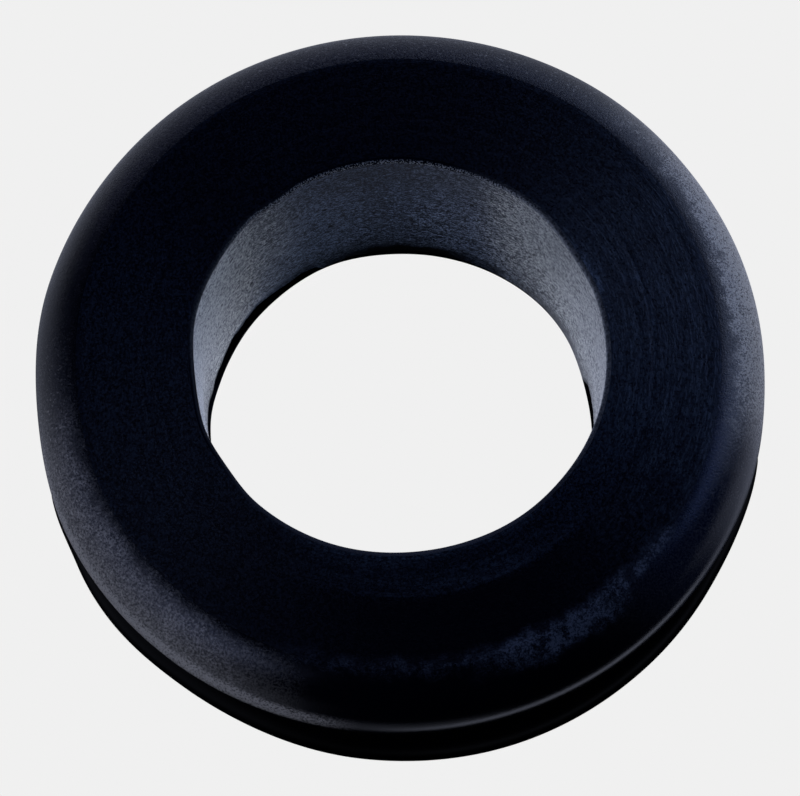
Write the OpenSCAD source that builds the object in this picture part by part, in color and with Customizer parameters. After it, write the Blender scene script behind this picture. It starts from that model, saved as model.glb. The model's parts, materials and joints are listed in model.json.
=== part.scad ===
// Rubber grommet for a round hole in a panel.
//
// It is one moulding, round about the Z axis: a straight tube with a wide
// flange at each end, and a square groove between the flanges that takes
// the edge of the panel. Each flange is bull-nosed, a broad shoulder above
// a tighter lip, and its end face is cut flat across the top of the
// shoulder, which leaves a crease all the way round. The two halves are
// mirror images. The grommet lies on its lower end face, and the origin is
// the centre of that face.

/* [Flanges] */
// Outside diameter of both flanges
outer_d = 45; // [44:0.5:60]
// Height over both flanges
height = 15; // [14:0.25:16]
// Width of the rounded shoulder, from the crease out to the rim
shoulder_w = 3; // [2:0.1:3]
// Depth from an end face down to the widest point of its flange
shoulder_h = 3.6; // [3:0.1:4]

/* [Panel groove] */
// Diameter of the floor of the groove, which is that of the panel hole
groove_d = 35; // [33:0.5:35]
// Width of the groove, which is the thickness of the panel
groove_w = 3; // [2.5:0.25:4]
// Radius in the two corners of the groove's floor
groove_root_r = 0.4; // [0.1:0.1:0.6]

/* [Bore] */
// Diameter of the bore that a cable, hose or pipe passes through
bore_d = 25; // [12:0.5:30]
// Radius on the rim at each end of the bore
bore_rim_r = 0.3; // [0.1:0.05:0.6]

/* [Finish] */
// Colour of the rubber
rubber_colour = "#15171e"; // [#15171e:Black, #4a4d52:Grey, #7a2f22:Red oxide]
// Straight segments in a full turn, when the model is shown as a mesh
segments = 144; // [48:8:240]

/* [Hidden] */
$fn = segments;

outer_r = outer_d / 2;
groove_r = groove_d / 2;
bore_r = bore_d / 2;

// Each flange fills the height that the groove leaves.
flange_t = (height - groove_w) / 2;

// The shoulder is one arc, upright at the rim, that meets the end face at
// the crease: shoulder_w in from the rim and shoulder_h above it.
shoulder_r = (pow(shoulder_w, 2) + pow(shoulder_h, 2)) / (2 * shoulder_w);

// The lip is a quarter circle from the rim in to the side of the groove.
lip_r = flange_t - shoulder_h;

// How far a corner piece runs past its corner, so that it overlaps what
// it cuts or fills.
margin = 0.5;

// The sections below lie in the XY plane. X is the distance from the axis
// and Y is the height, and rotate_extrude turns them about the axis.

// A square corner at the origin, less the quarter circle that rounds it.
// The sides run along +X and +Y, and the piece goes past them by margin.
module corner(r) {
    difference() {
        translate([-margin, -margin]) square(r + margin);
        translate([r, r]) circle(r);
    }
}

// The upper flange, with Y measured up from its groove side.
module flange_section() {
    // shoulder: the big arc above the widest point, cut flat at the face
    intersection() {
        union() {
            translate([outer_r - shoulder_r, lip_r]) circle(shoulder_r);
            translate([bore_r, lip_r])
                square([outer_r - shoulder_r - bore_r, shoulder_h]);
        }
        translate([bore_r, lip_r]) square([outer_r - bore_r, shoulder_h]);
    }
    // lip: the quarter circle below the widest point
    intersection() {
        union() {
            translate([outer_r - lip_r, lip_r]) circle(lip_r);
            translate([bore_r, 0]) square([outer_r - lip_r - bore_r, lip_r]);
        }
        translate([bore_r, 0]) square([outer_r - bore_r, lip_r]);
    }
}

// Everything above the middle of the panel, with Y measured up from there.
module half_section() {
    difference() {
        union() {
            translate([0, groove_w / 2]) flange_section();
            translate([bore_r, 0])
                square([groove_r - bore_r, groove_w / 2 + margin]);
            translate([groove_r, groove_w / 2])
                mirror([0, 1]) corner(groove_root_r);
        }
        translate([bore_r, height / 2])
            mirror([0, 1]) corner(bore_rim_r);
    }
}

// The whole moulding, its two halves mirrored about the panel.
module grommet() {
    color(rubber_colour)
        rotate_extrude()
            translate([0, height / 2]) {
                half_section();
                mirror([0, 1]) half_section();
            }
}

grommet();
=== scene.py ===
# %% [markdown]
# # A rubber grommet, dressed for a close look
#
# A grommet is one lump of black rubber that lines a hole in a panel. The
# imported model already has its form, so this notebook spends its time on
# what a plain form can't say: which faces were moulded, which were cut
# afterwards, and how shelf dust and bloom have settled on them.
#
# All lengths are in metres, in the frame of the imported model: the grommet
# lies on Z = 0, and its bore runs along +Z. An azimuth is an angle about
# +Z in degrees, from +X on the right; 270 is the front.

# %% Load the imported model
import json
import math
import bpy
import numpy as np
from mathutils import Matrix, Vector


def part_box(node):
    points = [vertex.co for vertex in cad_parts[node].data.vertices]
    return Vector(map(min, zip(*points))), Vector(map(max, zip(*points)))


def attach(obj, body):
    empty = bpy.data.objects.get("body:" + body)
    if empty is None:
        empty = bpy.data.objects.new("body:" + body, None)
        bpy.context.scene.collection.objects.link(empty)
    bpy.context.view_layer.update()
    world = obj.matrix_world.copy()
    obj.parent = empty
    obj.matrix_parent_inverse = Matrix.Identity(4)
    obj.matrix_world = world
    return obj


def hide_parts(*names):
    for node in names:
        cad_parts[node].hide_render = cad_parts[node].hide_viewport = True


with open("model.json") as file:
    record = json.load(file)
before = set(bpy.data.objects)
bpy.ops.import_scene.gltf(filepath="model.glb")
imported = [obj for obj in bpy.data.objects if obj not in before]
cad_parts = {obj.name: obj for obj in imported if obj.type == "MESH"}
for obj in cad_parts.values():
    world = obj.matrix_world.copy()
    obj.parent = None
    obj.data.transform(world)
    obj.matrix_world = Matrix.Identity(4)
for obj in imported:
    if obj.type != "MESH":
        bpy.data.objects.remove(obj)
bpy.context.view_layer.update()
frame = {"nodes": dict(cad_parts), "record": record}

MM = 0.001
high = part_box("grommet")[1]
outer_r = high.x
height = high.z
print("packed nodes:", sorted(frame["nodes"]), "radius %.2f mm" % (outer_r / MM))

# %% [markdown]
# ## The camera
#
# A small thing seen from close by shows strong perspective, so the lens and
# the distance both matter. The camera stands about seven radii away, looks
# down steeply and is rolled a few degrees. It is placed from the centre of
# the upper end face, because that face fills the view.

# %% Place the camera
camera_elevation = math.radians(70.88)
camera_roll = math.radians(3.34)
camera_distance = 7.029 * outer_r
camera_drop = 0.1242 * outer_r
lens_mm = 118.45
sensor_mm = 36

level_right = Vector((1, 0, 0))
forward = Vector((0, math.cos(camera_elevation), -math.sin(camera_elevation)))
level_up = level_right.cross(forward)
camera_right = level_right * math.cos(camera_roll) - level_up * math.sin(camera_roll)
camera_up = level_right * math.sin(camera_roll) + level_up * math.cos(camera_roll)

camera = bpy.data.objects.new("camera", bpy.data.cameras.new("camera"))
camera.data.lens = lens_mm
camera.data.sensor_width = sensor_mm
camera.data.clip_start = 0.01
camera.data.clip_end = 20
bpy.context.scene.collection.objects.link(camera)
camera_place = Vector((0, 0, height)) - forward * camera_distance - level_up * camera_drop
camera_turn = Matrix((camera_right, camera_up, -forward)).transposed().to_4x4()
camera.matrix_world = Matrix.Translation(camera_place) @ camera_turn
bpy.context.scene.camera = camera
print("camera at", [round(x, 4) for x in camera_place])

# %% [markdown]
# ## The section
#
# The grommet is round, so one closed outline turned about Z makes all of
# it. Blender's Screw modifier could do the turning. Doing it by hand gives
# each stretch of the outline its own spacing and its own finish, and lets
# the outline change a little from one angle to the next.
#
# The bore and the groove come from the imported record. The shoulder repeats
# the values of the part's source: two arcs that meet at the widest point.

# %% Sizes
mounts = {mount["name"]: mount["dims"] for mount in frame["record"]["mounts"]}
bore_r = mounts["bore"]["r_mm"] * MM
groove_r = mounts["panel_groove"]["r_mm"] * MM
groove_w = mounts["panel_groove"]["length_mm"] * MM

shoulder_w = 3.0 * MM
shoulder_h = 3.6 * MM
rim_r = 0.3 * MM
root_r = 0.4 * MM

crease_r = outer_r - shoulder_w
shoulder_r = (shoulder_w ** 2 + shoulder_h ** 2) / (2 * shoulder_w)
groove_top = (height + groove_w) / 2
groove_bottom = (height - groove_w) / 2
lip_r = groove_bottom - shoulder_h
crease_deg = math.degrees(math.atan2(shoulder_h, shoulder_r - shoulder_w))
print("crease at r %.1f mm, shoulder arc %.2f mm" % (crease_r / MM, shoulder_r / MM))


# %% Lines and arcs
def line(start, end, steps):
    """Points from start towards end, which the next stretch supplies."""
    t = np.linspace(0, 1, steps, endpoint=False)[:, None]
    return np.array(start) * (1 - t) + np.array(end) * t


def arc(centre, radius, start_deg, end_deg, steps, crowd=1.0):
    """Points round an arc; crowd above 1 packs them near its start."""
    t = np.linspace(0, 1, steps, endpoint=False) ** crowd
    angle = np.radians(start_deg + (end_deg - start_deg) * t)
    return np.array(centre) + radius * np.column_stack((np.cos(angle), np.sin(angle)))


# %% [markdown]
# The outline runs up the bore, out over the upper face, down the outside
# with the groove in it, and back under the lower face. Each stretch carries
# the name of its finish: `bored`, `cut`, `moulded`, or `sheltered` where
# little has rubbed or dusted the rubber; under the upper flange `sheltered`
# also stands for the shade there. The bored wall stops just short of the
# lower face and leaves a thin ledge there, so the lowest stretches belong
# to the ledge.

# %% The outline
ledge_z = 0.42 * MM
flare_z = 3.0 * MM
widest_z = height - shoulder_h
floor_top = groove_top - root_r
floor_bottom = groove_bottom + root_r

x_rim = bore_r + rim_r
x_root = groove_r + root_r
x_lip = outer_r - lip_r
x_arc = outer_r - shoulder_r

stretches = [
    ("ledge", "sheltered", line((bore_r, rim_r), (bore_r, ledge_z), 6)),
    ("flare", "bored", line((bore_r, ledge_z), (bore_r, flare_z), 16)),
    ("wall", "bored", line((bore_r, flare_z), (bore_r, height - rim_r), 42)),
    ("upper rim", "sheltered", arc((x_rim, height - rim_r), rim_r, 180, 90, 6)),
    ("upper face", "cut", line((x_rim, height), (crease_r, height), 60)),
    ("upper shoulder", "moulded", arc((x_arc, widest_z), shoulder_r, crease_deg, 0, 38, 1.25)),
    ("upper lip", "moulded", arc((x_lip, widest_z), lip_r, 0, -90, 14)),
    ("upper side", "sheltered", line((x_lip, groove_top), (x_root, groove_top), 6)),
    ("upper root", "sheltered", arc((x_root, floor_top), root_r, 90, 180, 4)),
    ("floor", "sheltered", line((groove_r, floor_top), (groove_r, floor_bottom), 5)),
    ("lower root", "sheltered", arc((x_root, floor_bottom), root_r, 180, 270, 4)),
    ("lower side", "sheltered", line((x_root, groove_bottom), (x_lip, groove_bottom), 6)),
    ("lower lip", "sheltered", arc((x_lip, shoulder_h), lip_r, 90, 0, 14)),
    ("lower shoulder", "sheltered", arc((x_arc, shoulder_h), shoulder_r, 0, -crease_deg, 26)),
    ("lower face", "cut", line((crease_r, 0), (x_rim, 0), 24)),
    ("lower rim", "sheltered", arc((x_rim, rim_r), rim_r, 270, 180, 5)),
]
section = np.vstack([points for _, _, points in stretches])
stretch_of = np.concatenate([[name] * len(points) for name, _, points in stretches])
finish_of = np.concatenate([[finish] * len(points) for _, finish, points in stretches])
print("outline of", len(section), "points in", len(stretches), "stretches")

# %% [markdown]
# ## Not quite round
#
# Soft rubber comes out of its mould a few tenths of a millimetre out of
# true. Each departure is a low hill or hollow, given by its azimuth, how
# far it spreads in degrees, and its height. Hills on the outside fade to
# nothing towards the bore, and those of the bore fade outwards.

# %% Hills and hollows round the ring
segments = 360
azimuth = np.linspace(0, 360, segments, endpoint=False)


def hills(places):
    """Sum of smooth hills round the ring, from (azimuth, spread, height in mm)."""
    total = np.zeros(segments)
    for centre, spread, rise in places:
        away = np.abs((azimuth - centre + 180) % 360 - 180)
        total += rise * np.where(away < spread, 0.5 + 0.5 * np.cos(np.pi * away / spread), 0)
    return total * MM


upper_flange = hills([(14, 48, -0.24), (12, 26, 0.15), (36, 30, 0.05), (184, 22, -0.27),
                      (148, 34, -0.08), (342, 14, 0.05)])
lower_flange = hills([(208, 22, 0.29), (191, 12, 0.36), (238, 24, -0.16), (284, 25, 0.10),
                      (300, 30, 0.05), (322, 40, 0.12), (347, 22, 0.32), (350, 15, 0.12)])
upper_rim = hills([(180, 24, -0.13), (150, 20, -0.06), (123, 10, -0.18), (68, 22, -0.08),
                   (28, 16, -0.17), (211, 15, -0.15), (272, 26, -0.06), (303, 18, 0.05),
                   (336, 40, 0.09), (187, 22, -0.15)])
lower_rim = hills([(4, 22, -0.15), (14, 16, -0.07), (37, 20, 0.08), (78, 30, -0.13),
                   (94, 20, -0.07), (128, 22, -0.08), (155, 40, -0.12), (150, 14, -0.03),
                   (172, 12, 0.09)])
for label, ring in (("flanges", (upper_flange, lower_flange)), ("bore", (upper_rim, lower_rim))):
    print(label, "out of round by %.2f mm at most" % (np.abs(ring).max() / MM))

# %% [markdown]
# The ledge is where the boring tool stopped. Its free edge is thin and a
# little ragged, so a seeded noise is laid over the hills. Where there is no
# ledge a trace is kept, or two rings of points would fall on each other.

# %% The ledge at the foot of the bore
rng = np.random.default_rng(7)


def ragged(spread, size):
    """Seeded noise round the ring, smoothed over a few degrees."""
    raw = rng.standard_normal(segments)
    away = np.minimum(np.arange(segments), segments - np.arange(segments))
    kernel = np.exp(-0.5 * (away / spread) ** 2)
    smooth = np.real(np.fft.ifft(np.fft.fft(raw) * np.fft.fft(kernel)))
    return size * MM * smooth / smooth.std()


back_ledge_end = 106
ragged_from = 0.05 * MM
least_ledge = 0.015 * MM
# its width in mm at azimuths on the left and right; the back has hills of its own
shelf_places = [(0, 0.26), (10, 0.24), (12.5, 0), (112.5, 0), (113.5, 0.31), (124, 0.40), (136, 0.50),
                (150, 0.48), (158, 0.38), (166, 0.30), (176, 0.22), (188, 0), (351, 0), (360, 0.26)]

ledge = hills([(98, 12, 0.10), (88, 26, 0.20), (66, 14, 0.06)]) * (azimuth < back_ledge_end)
ledge += np.interp(azimuth, *zip(*shelf_places)) * MM
ledge += ragged(1.5, 0.035) * (ledge > ragged_from)
ledge = np.maximum(ledge, least_ledge)
print("ledge up to %.2f mm wide" % (ledge.max() / MM))

# %% [markdown]
# Every azimuth gets the outline again, with its radii changed a little. A
# share between 0 and 1 says how much each outline point takes of each hill.
# Last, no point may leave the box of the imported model, so the radii are cut
# back where they would pass its sides.


# %% Shape the rings
def ease(value, start, end):
    """Smooth step from 0 at start to 1 at end."""
    t = np.clip((value - start) / (end - start), 0, 1)
    return t * t * (3 - 2 * t)


r0, z0 = section[:, 0], section[:, 1]
outward = ease(r0, 16 * MM, 22 * MM)
near_bore = ease(r0, 15 * MM, bore_r)
top_half = ease(z0, groove_bottom, groove_top)

on_ledge = stretch_of == "ledge"
on_flare = stretch_of == "flare"
ledge_share = np.zeros(len(section))
ledge_share[on_ledge] = np.linspace(0, 1, on_ledge.sum(), endpoint=False)
ledge_share[on_flare] = 1 - ease(np.linspace(0, 1, on_flare.sum(), endpoint=False), 0, 1)

radii = np.repeat(r0[None, :], segments, axis=0)
radii += np.outer(upper_flange, outward * top_half)
radii += np.outer(lower_flange, outward * (1 - top_half))
radii += np.outer(upper_rim, near_bore * top_half)
radii += np.outer(lower_rim, near_bore * (1 - top_half))
radii += np.outer(ledge, ledge_share)

side = outer_r - 0.01 * MM
along = np.maximum(np.abs(np.cos(np.radians(azimuth))), np.abs(np.sin(np.radians(azimuth))))
radii = np.minimum(radii, (side / along)[:, None])
print("widest %.3f mm, narrowest %.3f mm" % (radii.max() / MM, radii.min() / MM))

# %% [markdown]
# ## Turning rings and the worn crease
#
# The two end faces were cut in a lathe. The tool left rings too fine to
# measure and a few that show: they are the shallow hollows below. The cut
# broke through the moulded skin at the crease. Handling has rounded that
# edge a little, and in one place it left a thin burr. These are changes of
# height, so they keep an array of their own.

# %% Turning rings in the end faces
ring_places = [(14.6, 0.010), (15.4, 0.020), (17.1, 0.006), (18.7, 0.012)]
ring_width = 0.12
fine_depth = 0.004

face_rings = np.zeros(len(section))
for ring_r, depth in ring_places:
    face_rings += depth * np.exp(-((r0 / MM - ring_r) / ring_width) ** 2)
fine_rings = fine_depth * rng.random(len(section))
is_face = np.isin(stretch_of, ["upper face", "lower face"])
inward = np.where(z0 > height / 2, -1, 1)
heights = np.repeat(z0[None, :], segments, axis=0)
heights += (inward * is_face * (face_rings + fine_rings) * MM)[None, :]
print("rings at", [place for place, _ in ring_places], "mm")

# %% The crease, with its burr and its worn edge
burr_out = 0.55
burr_width = 0.08
burr_depth = 0.012 * hills([(214, 12, 1.0)])
worn = 0.45 * MM

crease_burr = np.exp(-((r0 / MM - crease_r / MM - burr_out) / burr_width) ** 2)
heights -= np.outer(burr_depth, crease_burr * (stretch_of == "upper shoulder"))

slope = (shoulder_r - shoulder_w) / shoulder_h
near_crease = np.clip(worn - np.abs(r0 - crease_r), 0, None)
top_side = np.isin(stretch_of, ["upper face", "upper shoulder"])
heights -= (top_side * slope * near_crease ** 2 / (4 * worn))[None, :]
print("crease lowered by %.3f mm" % ((height - heights[0][stretch_of == "upper shoulder"][0]) / MM))

# %% [markdown]
# ## The mesh
#
# Each azimuth now has its own outline, and the outlines of two neighbours
# make a row of quads. The last point of an outline joins the first, and the
# last azimuth joins the first as well, so the skin is closed. Every quad
# takes the material of its stretch.

# %% Build the moulding
finishes = ["cut", "bored", "moulded", "sheltered"]
rows, columns = radii.shape
turn = np.radians(azimuth)[:, None]
points = np.stack((radii * np.cos(turn), radii * np.sin(turn), heights), axis=2)
i, j = np.meshgrid(np.arange(rows), np.arange(columns), indexing="ij")
i_next, j_next = (i + 1) % rows, (j + 1) % columns
corners = (i * columns + j, i * columns + j_next, i_next * columns + j_next, i_next * columns + j)
quads = np.stack(corners, axis=2)

mesh = bpy.data.meshes.new("moulded_grommet")
mesh.from_pydata(points.reshape(-1, 3).tolist(), [], quads.reshape(-1, 4).tolist())
one_row = [finishes.index(finish) for finish in finish_of]
mesh.polygons.foreach_set("material_index", one_row * rows)
mesh.shade_smooth()
grommet = bpy.data.objects.new("moulded_grommet", mesh)
bpy.context.scene.collection.objects.link(grommet)
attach(grommet, "root")
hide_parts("grommet")
print("quads:", len(mesh.polygons), "closed:", not mesh.validate())

# %% [markdown]
# ## Four finishes of one rubber
#
# The compound is the same all through, a blue-black rubber full of carbon.
# What differs is the surface. The cut faces are dark and silky with short
# tool marks in them, and the bored wall is dusty, in scratches that run
# round it. The moulded skin is grainy and carries a pale bloom. The lower
# flange, the groove and the thin edges of the bore are nearly plain black.
#
# Shader trees get long, so a few helpers come first. They add a node, join
# sockets or set numbers, and hand back the output to use next.


# %% Node helpers
def put(tree, kind, inputs=None, **settings):
    """Add a shader node; inputs take a number or another node's output."""
    new = tree.nodes.new("ShaderNode" + kind)
    for key, value in settings.items():
        setattr(new, key, value)
    for key, value in (inputs or {}).items():
        if isinstance(value, bpy.types.NodeSocket):
            tree.links.new(value, new.inputs[key])
        else:
            new.inputs[key].default_value = value
    return new


def sums(tree, operation, a, b=0.0, c=0.0):
    """One Math node: MINIMUM, SUBTRACT, MULTIPLY_ADD and so on."""
    return put(tree, "Math", {0: a, 1: b, 2: c}, operation=operation).outputs[0]


def times(tree, first, *factors):
    """Product of two or more values."""
    for factor in factors:
        first = sums(tree, "MULTIPLY", first, factor)
    return first


def plus(tree, first, *terms):
    """Sum of two or more values."""
    for term in terms:
        first = sums(tree, "ADD", first, term)
    return first


def step(tree, value, start, end, out_start=0.0, out_end=1.0):
    """Smooth step of a value, like ease() above."""
    inputs = {"Value": value, "From Min": start, "From Max": end, "To Min": out_start, "To Max": out_end}
    return put(tree, "MapRange", inputs, interpolation_type="SMOOTHSTEP").outputs["Result"]


def band(tree, value, inner, outer, edge):
    """1 between two values of a radius or height, with soft edges."""
    rise = step(tree, value, inner - edge, inner + edge)
    return times(tree, rise, step(tree, value, outer - edge, outer + edge, 1.0, 0.0))


def mottle(tree, vector, scale, detail=2.0, roughness=0.5):
    """Noise between 0 and 1."""
    inputs = {"Vector": vector, "Scale": scale, "Detail": detail, "Roughness": roughness}
    return put(tree, "TexNoise", inputs).outputs[0]


def mix(tree, factor, a, b):
    """Blend two colours."""
    new = put(tree, "Mix", data_type="RGBA")
    for key, value in (("Factor_Float", factor), ("A_Color", a), ("B_Color", b)):
        socket = next(s for s in new.inputs if s.identifier == key)
        if isinstance(value, bpy.types.NodeSocket):
            tree.links.new(value, socket)
        else:
            socket.default_value = value
    return next(s for s in new.outputs if s.identifier == "Result_Color")


# %% [markdown]
# Marks on a turned part run round it, so most textures here need to know
# how far out a point is and which way it faces. The radius and the height
# are taken in millimetres. The direction is a unit vector, because an angle
# in degrees would jump from 360 to 0 and leave a seam.

# %% Where on the ring
outer_mm = outer_r / MM
crease_mm = crease_r / MM
groove_mm = groove_r / MM
bore_mm = bore_r / MM
top_mm = height / MM
widest_mm = widest_z / MM


def ring_space(tree):
    """Position in mm, radius in mm, height in mm and outward direction."""
    place = put(tree, "TexCoord").outputs["Object"]
    spot = put(tree, "VectorMath", {0: place, "Scale": 1 / MM}, operation="SCALE").outputs["Vector"]
    apart = put(tree, "SeparateXYZ", {0: spot}).outputs
    flat = put(tree, "CombineXYZ", {0: apart[0], 1: apart[1]}).outputs[0]
    radius = put(tree, "VectorMath", {0: flat}, operation="LENGTH").outputs["Value"]
    facing = put(tree, "VectorMath", {0: flat}, operation="NORMALIZE").outputs["Vector"]
    return spot, radius, apart[2], facing


def streaks(tree, facing, across, length, fineness, detail=2.0):
    """Noise drawn out round the ring; across is the radius or the height."""
    round_it = put(tree, "VectorMath", {0: facing, "Scale": length}, operation="SCALE").outputs["Vector"]
    lift = put(tree, "CombineXYZ", {2: times(tree, across, fineness)}).outputs[0]
    vector = put(tree, "VectorMath", {0: round_it, 1: lift}, operation="ADD").outputs["Vector"]
    return mottle(tree, vector, 1.0, detail, 0.6)


def towards(tree, facing, azimuth_deg, spread_deg):
    """1 at an azimuth, falling smoothly to 0 at the spread on either side."""
    angle = math.radians(azimuth_deg)
    aim = (math.cos(angle), math.sin(angle), 0)
    closeness = put(tree, "VectorMath", {0: facing, 1: aim}, operation="DOT_PRODUCT").outputs["Value"]
    return step(tree, closeness, math.cos(math.radians(spread_deg)), 1.0)


def around(tree, facing, places):
    """Sum of soft patches round the ring, from (azimuth, spread, amount)."""
    total = 0.0
    for azimuth_deg, spread_deg, amount in places:
        total = sums(tree, "MULTIPLY_ADD", towards(tree, facing, azimuth_deg, spread_deg), amount, total)
    return total


# %% [markdown]
# Some marks lie on more than one face, so they are functions. Chalk from
# the cutting bench is smeared along the front of the crease. Specks are
# single grains. Each returns the amount that a finish mixes into its own
# colour.

# %% Chalk and specks
chalk_blue = (0.074, 0.090, 0.118, 1)


def specks(tree, spot, scale, share):
    """Single bright grains; a higher share leaves fewer of them."""
    return step(tree, mottle(tree, spot, scale, 1.0, 0.5), share, share + 0.12)


def chalk(tree, spot, radius, facing):
    """Smears along the front of the crease, in two bands and a thin streak."""
    cloud = mottle(tree, spot, 0.7, 4.0, 0.6)
    ragged_r = sums(tree, "MULTIPLY_ADD", cloud, -1.4, plus(tree, radius, 0.7))
    inner = band(tree, ragged_r, crease_mm - 0.45, crease_mm + 0.3, 0.45)
    lower = band(tree, ragged_r, crease_mm - 0.2, crease_mm + 1.0, 0.6)
    smear = sums(tree, "MAXIMUM", inner, times(tree, lower, towards(tree, facing, 295, 18)))
    where = around(tree, facing, [(262, 20, 0.35), (284, 16, 0.44), (298, 16, 1.3), (314, 12, 0.35),
                                  (336, 16, 0.15)])
    streak = band(tree, radius, crease_mm - 0.2, crease_mm + 0.35, 0.15)
    streak = times(tree, streak, towards(tree, facing, 313, 11), 1.1)
    broken = step(tree, mottle(tree, spot, 1.3, 4.0, 0.75), 0.36, 0.66, 0.08, 1.1)
    grain = step(tree, mottle(tree, spot, 8.0, 2.0, 0.8), 0.38, 0.62, 0.25, 1.5)
    return times(tree, plus(tree, times(tree, smear, where), streak), broken, grain)


# %% [markdown]
# All four materials start alike, from the Principled shader, and end alike,
# with a relief turned into a bump. These two helpers do that. The materials
# go on the mesh in the order of the list `finishes`.

# %% A finish's start and end
def new_finish(name):
    """A new material on the grommet: its node tree and its shader node."""
    material = bpy.data.materials.new(name)
    material.use_nodes = True
    mesh.materials.append(material)
    return material.node_tree, material.node_tree.nodes["Principled BSDF"]


def raise_relief(tree, shader, relief, strength, depth):
    """Give the surface a bump, its depth in metres."""
    bump = put(tree, "Bump", {"Strength": strength, "Distance": depth, "Height": relief})
    tree.links.new(bump.outputs[0], shader.inputs["Normal"])


# %% [markdown]
# ### The cut faces
#
# The rubber tears a little under the lathe tool, which leaves a dense grain
# of short strokes that run round the face. Dust lies in them, so every
# layer of dust below is broken up by the strokes and by a finer grit. It
# could be painted on as one even haze, but it would look like fog. On the
# right, bright arcs are a painted highlight: the right lamps' light caught
# in the turning grooves, laid into the colour. There is also a strip inside
# the second ring that was never wiped at the front, dust beside the bore, a
# veil that comes and goes, and a little dust that has crossed the crease at
# the back.

# %% The cut faces: strokes, dust and a painted highlight
tree, shader = new_finish("cut_rubber")
ink = (0.0001, 0.0005, 0.0034, 1)
haze_and_highlight = (0.100, 0.138, 0.182, 1)
second_ring = ring_places[1][0]

spot, radius, _, facing = ring_space(tree)
fine = streaks(tree, facing, radius, 6.0, 8.0, 3.0)
broad = streaks(tree, facing, radius, 1.6, 1.7, 1.0)
strokes = step(tree, streaks(tree, facing, radius, 42.0, 8.0), 0.42, 0.64)
cloud = mottle(tree, spot, 0.45, 4.0)
grit = mottle(tree, spot, 7.5, 2.0, 0.75)
broken = times(tree, step(tree, grit, 0.36, 0.64, 0.35, 1.5), step(tree, strokes, 0.0, 1.0, 0.55, 1.5))

# Painted highlight: the right lamps' light in the turning grooves, painted in as pale arcs.
arc_highlight = times(tree, step(tree, fine, 0.40, 0.68), step(tree, broad, 0.35, 0.65, 0.4, 1.0),
             around(tree, facing, [(6, 40, 0.46)]))
front_strip = times(tree, band(tree, radius, bore_mm - 0.5, second_ring - 0.15, 0.12),
                    around(tree, facing, [(272, 40, 0.10), (302, 18, 0.05)]),
                    step(tree, broad, 0.35, 0.7, 0.3, 1.4))
beside_bore = times(tree, band(tree, radius, bore_mm - 0.5, bore_mm + 0.6, 0.35),
                    around(tree, facing, [(19, 8, 1.5), (14, 26, 0.16), (262, 60, 0.12)]),
                    step(tree, mottle(tree, spot, 2.2, 4.0, 0.7), 0.42, 0.62, 0.2, 1.2))
veil = times(tree, step(tree, cloud, 0.35, 0.75), around(tree, facing, [(0, 55, 0.10)]))
at_crease = times(tree, step(tree, radius, crease_mm - 0.6, crease_mm + 0.1),
                  around(tree, facing, [(80, 80, 0.06)]))
in_strokes = times(tree, strokes, around(tree, facing, [(0, 60, 0.10)]))
dust_and_highlight = times(tree, plus(tree, arc_highlight, front_strip, beside_bore, veil, at_crease, in_strokes), broken)
colour = mix(tree, dust_and_highlight, ink, haze_and_highlight)
print("cut faces:", len(tree.nodes), "nodes for the dust")

# %% [markdown]
# Under the dust the rubber has a blue-black grain, the finest of all. Most
# of it was wiped off the front. The chalk lies over both.

# %% The cut faces: grain and chalk
grain_blue = (0.010, 0.019, 0.036, 1)
fine_grain = step(tree, mottle(tree, spot, 7.5, 2.0, 0.8), 0.46, 0.62)
wiped = times(tree, towards(tree, facing, 298, 64),
              step(tree, radius, second_ring - 0.2, second_ring + 0.2))
left_in = plus(tree, around(tree, facing, [(0, 80, 0.4), (185, 50, 0.3)]), 0.35)
left_in = sums(tree, "MULTIPLY_ADD", wiped, -0.42, left_in)
colour = mix(tree, times(tree, fine_grain, left_in, 1.2), colour, grain_blue)
colour = mix(tree, chalk(tree, spot, radius, facing), colour, chalk_blue)
tree.links.new(colour, shader.inputs["Base Color"])
print("cut faces:", len(tree.nodes), "nodes with grain and chalk")

# %% [markdown]
# A face turned in a lathe has grooves round it. They are too fine to model
# and too long to show as dots, but they spread a highlight across
# themselves, as a record does. The Principled shader calls that anisotropy.
# Its tangent follows the grooves, and a quarter turn points the spread
# across them.

# %% The cut faces: gloss along the grooves
tree.links.new(step(tree, grit, 0.3, 0.7, 0.27, 0.38), shader.inputs["Roughness"])
raise_relief(tree, shader, sums(tree, "MULTIPLY_ADD", strokes, 0.6, grit), 0.5, 0.02 * MM)
round_z = put(tree, "Tangent", direction_type="RADIAL", axis="Z").outputs[0]
tree.links.new(round_z, shader.inputs["Tangent"])
shader.inputs["Anisotropic"].default_value = 0.6
shader.inputs["Anisotropic Rotation"].default_value = 0.25
print("cut faces:", len(tree.nodes), "nodes in all")

# %% [markdown]
# ### The bored wall
#
# Dust clings to the bore. The pale colour on the left and right, paler
# higher up, is partly that dust and partly painted sheen and painted lamp
# light: there the eye grazes the wall, the wall faces the side lamps, and
# the upper wall gets more light than the deep part. Sheen could give that
# glow, since it glows where the eye grazes a surface, but here it is a pale
# diffuse colour over the bare rubber, grain by grain. The boring tool's
# scratches rake it into dashes: a fine noise and a coarse one, both drawn
# out round the bore, and a grit between them multiply its amount. At the
# back there is only a thin blue haze, partly painted sheen too, broken by
# the same scratches.

# %% The bored wall: dust and painted sheen
tree, shader = new_finish("bored_rubber")
bare = (0.003, 0.005, 0.010, 1)
pale_dust_and_sheen = (0.810, 0.820, 0.725, 1)
haze_and_sheen_blue = (0.260, 0.340, 0.470, 1)

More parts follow.
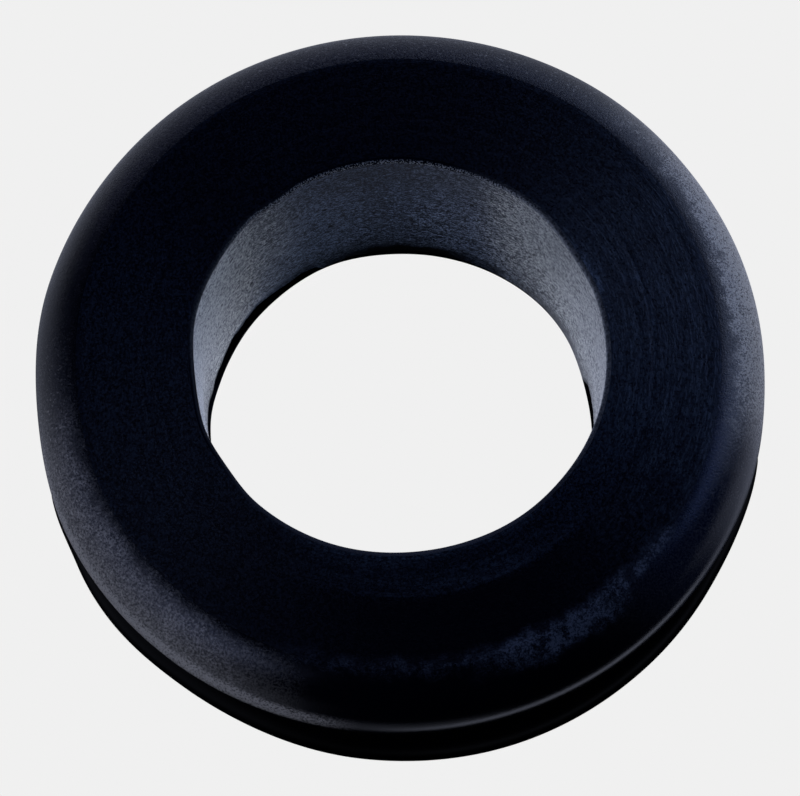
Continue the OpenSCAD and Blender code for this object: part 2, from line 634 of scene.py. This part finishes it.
spot, _, z, facing = ring_space(tree)
scratch = streaks(tree, facing, z, 46.0, 8.0, 2.0)
drag = streaks(tree, facing, z, 14.0, 2.5, 3.0)
cloud = mottle(tree, spot, 0.30, 3.0)
grit = mottle(tree, spot, 9.0, 2.0, 0.8)
broken = times(tree, step(tree, scratch, 0.41, 0.57, 0.15, 1.85),
               step(tree, drag, 0.34, 0.64, 0.60, 1.38),
               step(tree, grit, 0.41, 0.59, 0.22, 1.8))
# Painted sheen and lamp light, partly dust: pale on the left and right, paler higher up.
side_dust_and_sheen = times(tree, around(tree, facing, [(14, 52, 0.92), (36, 56, 0.06), (172, 42, 1.12),
                                          (168, 58, 0.36), (270, 90, 0.25)]),
              step(tree, cloud, 0.25, 0.75, 0.85, 1.15),
              step(tree, z, -1.0, 11.0, 0.12, 1.2))
# The blue haze at the back is partly painted sheen.
middle = times(tree, around(tree, facing, [(96, 80, 0.24), (128, 34, 0.20), (58, 30, 0.06)]),
               step(tree, z, 9.0, 14.0, 1.0, 0.6))
colour = mix(tree, times(tree, middle, broken), bare, haze_and_sheen_blue)
colour = mix(tree, times(tree, side_dust_and_sheen, broken), colour, pale_dust_and_sheen)
print("bored wall:", len(tree.nodes), "nodes for the dust")

# %% [markdown]
# The tool opened a few pores in the rubber. Little light gets into a pore,
# so each is painted dark, which is painted shade. Each is a ball of its own
# radius round a point on the wall, and a minimum joins them into one mask.

# %% The bored wall: pores
# azimuth in degrees, height and radius in mm
pores = [(65, 10.3, 0.14), (63, 8.2, 0.09), (44, 7.7, 0.08), (10, 9.1, 0.10), (137, 6.3, 0.15),
         (130, 2.8, 0.11), (151, 8.9, 0.11), (152, 11.2, 0.08), (120, 13.0, 0.12), (109, 9.6, 0.13),
         (119, 9.1, 0.10), (108, 6.8, 0.12), (143, 9.9, 0.07), (34, 10.9, 0.07), (127, 5.4, 0.07)]
nearest = 9.0
for pore_azimuth, pore_z, pore_r in pores:
    angle = math.radians(pore_azimuth)
    centre = (bore_mm * math.cos(angle), bore_mm * math.sin(angle), pore_z)
    away = put(tree, "VectorMath", {0: spot, 1: centre}, operation="DISTANCE").outputs["Value"]
    nearest = sums(tree, "MINIMUM", sums(tree, "DIVIDE", away, pore_r), nearest)
# Painted shade: the pores are painted near black.
pore_shade = step(tree, nearest, 0.9, 1.5, 1.0, 0.0)
print("bored wall:", len(pores), "pores")

# %% [markdown]
# Above the ledge the wall is darker in a ragged band. Near the ends of the
# ledge the wall is painted dark far up: painted shade at the foot of the wall.

# %% The bored wall: dark foot, painted shade and relief
foot_and_shade_black = (0.001, 0.001, 0.002, 1)
reach = times(tree, mottle(tree, spot, 1.1, 4.0, 0.7), 2.4)
dark_foot = times(tree, step(tree, sums(tree, "SUBTRACT", z, reach), -0.3, 1.0, 1.0, 0.0),
               around(tree, facing, [(88, 26, 0.95), (70, 22, 0.5), (118, 20, 0.15), (24, 34, 0.75)]))
# Painted shade: near both ends of the ledge the lower wall is painted dark.
undercut_shade = times(tree, step(tree, z, 0.5, 6.5, 1.0, 0.0),
            around(tree, facing, [(2, 15, 0.8), (177, 17, 0.75)]))
foot_and_shade = sums(tree, "MAXIMUM", pore_shade, sums(tree, "MAXIMUM", dark_foot, undercut_shade))
tree.links.new(mix(tree, foot_and_shade, colour, foot_and_shade_black), shader.inputs["Base Color"])
tree.links.new(step(tree, z, 1.0, 8.0, 0.58, 0.42), shader.inputs["Roughness"])
shader.inputs["Specular IOR Level"].default_value = 0.30
relief = sums(tree, "MULTIPLY_ADD", pore_shade, -3.0, plus(tree, scratch, grit))
raise_relief(tree, shader, relief, 0.7, 0.12 * MM)
print("bored wall:", len(tree.nodes), "nodes in all")

# %% [markdown]
# ### The moulded skin
#
# Rubber sweats out waxes and sulphur that dry to a pale bloom. It is thick
# on the lower left, and rubbed off at the front. On the right the pale is
# partly bloom and partly painted sheen, paler towards the outer edge where
# the lamps' light grazes the shoulder. Its edge near the crease is ragged,
# so the radius is shaken by a noise before it is compared, and shaken more
# on the right. The bloom has a grain of its own, a few tenths of a
# millimetre across, with bare specks in it. A pale line just above the
# widest point is a painted highlight, partly bloom: the light the lip
# catches, laid into the colour.

# %% The moulded skin: bloom, painted sheen and a painted lip highlight
tree, shader = new_finish("moulded_rubber")
bloom_and_painted_light = (0.420, 0.390, 0.330, 1)

spot, radius, z, facing = ring_space(tree)
cloud = mottle(tree, spot, 0.8, 4.0, 0.65)
grain = mottle(tree, spot, 7.0, 3.0, 0.8)
patchy = step(tree, grain, 0.40, 0.60, 0.0, 1.95)
shaken = sums(tree, "MULTIPLY_ADD", cloud, 1.8, sums(tree, "SUBTRACT", radius, 0.9))
shaken = sums(tree, "MULTIPLY_ADD", grain, 1.2, sums(tree, "SUBTRACT", shaken, 0.6))
more_shaken = sums(tree, "MULTIPLY_ADD", cloud, 1.2, sums(tree, "SUBTRACT", shaken, 0.6))

left = times(tree, step(tree, shaken, crease_mm - 0.1, crease_mm + 1.3),
             around(tree, facing, [(214, 34, 0.37), (238, 16, 0.11), (180, 26, 0.015)]))
# Partly painted sheen: on the right the pale grows towards the outer edge, where the lamps' light grazes.
right_bloom_and_sheen = times(tree, step(tree, more_shaken, crease_mm + 0.5, crease_mm + 1.8),
              around(tree, facing, [(9, 30, 0.85), (14, 15, 0.45), (24, 28, 0.28)]))
amount = times(tree, plus(tree, left, right_bloom_and_sheen), step(tree, cloud, 0.3, 0.7, 0.7, 1.25))
# Painted highlight, partly bloom: a pale line on the lip just above the widest point.
lip_highlight_and_bloom = times(tree, band(tree, z, widest_mm + 0.1, widest_mm + 1.3, 0.4),
               around(tree, facing, [(212, 26, 1.35), (238, 24, 1.30), (4, 30, 0.15)]))
everywhere = around(tree, facing, [(60, 60, 0.02), (110, 54, 0.05), (335, 40, 0.02)])
amount = times(tree, plus(tree, amount, lip_highlight_and_bloom, everywhere), patchy)
print("moulded skin:", len(tree.nodes), "nodes for the bloom")

# %% [markdown]
# White grains lie loose on the back and the left. At the front right the
# bare skin has a bluer tint. Where hands have rubbed the skin it
# is smoother, so the same mask lowers the roughness and flattens the bump.

# %% The moulded skin: loose grains, colour and gloss
skin = (0.0008, 0.0016, 0.0045, 1)
blue_skin = (0.0020, 0.0060, 0.0190, 1)
loose = times(tree, specks(tree, spot, 5.5, 0.60),
              around(tree, facing, [(60, 110, 0.46), (206, 38, 0.70)]),
              step(tree, radius, crease_mm, crease_mm + 1.5, 0.15, 1.0))
colour = mix(tree, towards(tree, facing, 333, 30), skin, blue_skin)
colour = mix(tree, plus(tree, amount, loose), colour, bloom_and_painted_light)
colour = mix(tree, chalk(tree, spot, radius, facing), colour, chalk_blue)
tree.links.new(colour, shader.inputs["Base Color"])

rubbed = around(tree, facing, [(290, 75, 1.0), (164, 36, 0.45)])
gloss = sums(tree, "MULTIPLY_ADD", rubbed, -0.16, step(tree, grain, 0.3, 0.7, 0.26, 0.36))
tree.links.new(gloss, shader.inputs["Roughness"])
relief = times(tree, grain, sums(tree, "MULTIPLY_ADD", rubbed, -0.85, 1.0))
raise_relief(tree, shader, relief, 0.7, 0.07 * MM)
print("moulded skin:", len(tree.nodes), "nodes in all")

# %% [markdown]
# ### The sheltered places
#
# The lower flange, the groove, the ledge and the rounded edges of the bore
# share one finish, the plain compound, nearly black. On the lower flange and
# in the groove, which lie in the shade of the upper flange, this plain black
# without bloom is partly painted shade. A low specular level would still
# leave it a bright edge where the eye grazes it. A low index of refraction
# dims what it mirrors at every angle, so that is used. Shelf dust has
# reached only the back of the lower flange.

# %% The sheltered places: the lower flange and the groove
tree, shader = new_finish("sheltered_rubber")
plain = (0.0006, 0.0007, 0.0012, 1)
spot, radius, z, facing = ring_space(tree)
grain = mottle(tree, spot, 5.5, 3.0, 0.8)
outside = times(tree, step(tree, radius, groove_mm - 1.5, groove_mm + 3.5),
                around(tree, facing, [(60, 75, 0.22), (125, 60, 0.22)]),
                step(tree, grain, 0.36, 0.64, 0.2, 1.7))
shader.inputs["Roughness"].default_value = 0.28
shader.inputs["IOR"].default_value = 1.12
raise_relief(tree, shader, grain, 0.5, 0.02 * MM)
print("sheltered places:", len(tree.nodes), "nodes so far")

# %% [markdown]
# The upper edge of the bore is only 0.3 mm round, yet it draws the outline
# of the bore. It is rubbed pale at the front. On the right, and a little on
# the left, the wall's pale carries over it: dust from the wall, and a
# painted highlight where the edge catches the lamps, as the wall does. At
# the back the edge is torn into specks. Its marks are graded by height,
# which rises from the wall to the face and isn't changed by the hills.

# %% The sheltered places: the upper edge of the bore
edge_blue = (0.002, 0.004, 0.010, 1)
pale_dust_and_light = (0.420, 0.440, 0.430, 1)
shelf_dust = (0.190, 0.195, 0.215, 1)
on_edge = step(tree, z, top_mm - 0.6, top_mm - 0.3)
rubbed = times(tree, on_edge, around(tree, facing, [(262, 60, 0.19), (305, 50, 0.10)]))
# Partly painted highlight: the edge is painted pale where it catches the lamps, on the right and a little
# on the left.
spilt_dust_and_light = times(tree, on_edge, around(tree, facing, [(10, 64, 0.86), (150, 40, 0.14)]),
              step(tree, z, top_mm - 0.22, top_mm, 1.0, 0.22),
              step(tree, grain, 0.36, 0.64, 0.35, 1.6))
torn = times(tree, band(tree, z, top_mm - 0.3, top_mm - 0.06, 0.04),
             around(tree, facing, [(92, 58, 1.2)]), specks(tree, spot, 11.0, 0.48))
colour = mix(tree, times(tree, on_edge, step(tree, grain, 0.3, 0.7, 0.4, 1.0)), plain, edge_blue)
colour = mix(tree, plus(tree, spilt_dust_and_light, torn), colour, pale_dust_and_light)
colour = mix(tree, plus(tree, rubbed, outside), colour, shelf_dust)
tree.links.new(colour, shader.inputs["Base Color"])
print("sheltered places:", len(tree.nodes), "nodes in all")

# %% [markdown]
# ## Floor and world
#
# The floor is plain and pale. A lit floor would carry shadows and uneven
# light, so this one gives off its own colour, and the world behind it has
# the same. Neither lights the grommet. A black thing is drawn by what it
# mirrors, and here that is left to the lamps and to the sheet below.

# %% Floor and world
pale = (0.871, 0.871, 0.871, 1)
sheet_half = 2.0


def glowing(name, colour):
    """A material that only glows, and its emission node."""
    material = bpy.data.materials.new(name)
    material.use_nodes = True
    tree = material.node_tree
    tree.nodes.clear()
    glow = put(tree, "Emission", {"Color": colour})
    put(tree, "OutputMaterial", {"Surface": glow.outputs[0]})
    return material, glow


def sheet(name, material):
    """A square sheet on the ground."""
    around_it = [(-1, -1), (1, -1), (1, 1), (-1, 1)]
    sheet_mesh = bpy.data.meshes.new(name)
    sheet_mesh.from_pydata([(x * sheet_half, y * sheet_half, 0) for x, y in around_it], [], [(0, 1, 2, 3)])
    sheet_mesh.materials.append(material)
    new = bpy.data.objects.new(name, sheet_mesh)
    bpy.context.scene.collection.objects.link(new)
    return new


pale_floor, _ = glowing("pale_floor", pale)
floor = sheet("floor", pale_floor)
floor.visible_diffuse = False
floor.visible_glossy = False
floor.visible_shadow = False

world = bpy.data.worlds.new("world")
bpy.context.scene.world = world
world.use_nodes = True
world.node_tree.nodes["Background"].inputs["Color"].default_value = pale
world.cycles_visibility.diffuse = False
world.cycles_visibility.glossy = False
bpy.context.scene.view_settings.view_transform = "Standard"
print("floor %.0f m across" % (2 * sheet_half))

# %% [markdown]
# ## Bounce
#
# Pale paper throws light back at what stands on it, but not evenly, since
# the thing on it shades it. Working that out takes many light paths. A
# second sheet does it here by a formula: it lies just under the floor,
# hidden from the camera, and glows in cool patches. The floor casts no
# shadow, so their light comes through it. The strongest patches lie inside
# the bore on the left and right and light its wall. Weaker ones outside
# give the shoulder and the lip their soft edge light.


# %% Bounce under the floor
def glow_at(tree, radius, facing):
    """How brightly the sheet glows at a place."""
    in_the_bore = times(tree, around(tree, facing, [(0, 60, 1.26), (180, 58, 1.30), (270, 80, 0.10)]),
                        step(tree, radius, bore_mm - 0.3, bore_mm + 0.5, 1.0, 0.0))
    outside = times(tree, around(tree, facing, [(18, 50, 0.56), (110, 95, 0.37), (208, 46, 0.30)]),
                    step(tree, radius, outer_mm + 2.5, outer_mm + 9.5))
    near_front = times(tree, band(tree, radius, outer_mm + 6.5, outer_mm + 10.5, 1.5),
                       around(tree, facing, [(304, 46, 0.40)]))
    left_front = times(tree, band(tree, radius, outer_mm + 6.5, outer_mm + 17.5, 2.0),
                       around(tree, facing, [(258, 32, 0.10)]))
    return plus(tree, in_the_bore, outside, near_front, left_front)


bounce_glow, glow = glowing("bounce_glow", (0.88, 0.95, 1.22, 1))
tree = bounce_glow.node_tree
_, radius, _, facing = ring_space(tree)
tree.links.new(glow_at(tree, radius, facing), glow.inputs["Strength"])
bounce = sheet("bounce", bounce_glow)
bounce.location.z = -0.1 * MM
bounce.visible_camera = False
bounce.visible_shadow = False
print("bounce sheet:", len(tree.nodes), "nodes")

# %% [markdown]
# ## Soft boxes
#
# A soft box is a large lamp behind white cloth. Seven stand low or half way
# up on the left, the right and the back, and all are a little blue. None
# stands in front and none hangs overhead, which keeps black rubber black:
# only its edges find a lamp to mirror. Area lamps do this well, because
# their size sets how soft an edge of light is.


# %% Soft boxes
def soft_box(name, azimuth_deg, elevation_deg, width, tall, brightness, distance=0.6):
    """A rectangular lamp that faces the grommet, its colour given as brightness."""
    strongest = max(brightness)
    lamp_data = bpy.data.lights.new(name, "AREA")
    lamp_data.shape = "RECTANGLE"
    lamp_data.size = width
    lamp_data.size_y = tall
    lamp_data.energy = math.pi * width * tall * strongest
    lamp_data.color = [part / strongest for part in brightness]
    lamp = bpy.data.objects.new(name, lamp_data)
    bpy.context.scene.collection.objects.link(lamp)
    turned, above = math.radians(azimuth_deg), math.radians(elevation_deg)
    level = math.cos(above)
    aim = Vector((math.cos(turned) * level, math.sin(turned) * level, math.sin(above)))
    lamp.location = aim * distance
    lamp.rotation_mode = "QUATERNION"
    lamp.rotation_quaternion = aim.to_track_quat("Z", "Y")
    lamp.visible_camera = False
    print("lamp", name)


soft_box("right_box", 30, 14, 0.42, 0.48, (1.40, 1.70, 2.55))
soft_box("right_high", 22, 46, 0.42, 0.20, (0.26, 0.41, 1.10))
soft_box("right_back", 62, 14, 0.20, 0.40, (0.25, 0.34, 0.62))
soft_box("left_box", 200, 8, 0.42, 0.34, (0.62, 0.66, 0.90))
soft_box("left_high", 203, 38, 0.36, 0.32, (0.64, 0.78, 1.40))
soft_box("left_back", 167, 8, 0.20, 0.28, (0.15, 0.18, 0.34))
soft_box("back_high", 100, 20, 0.70, 0.26, (0.17, 0.19, 0.39))
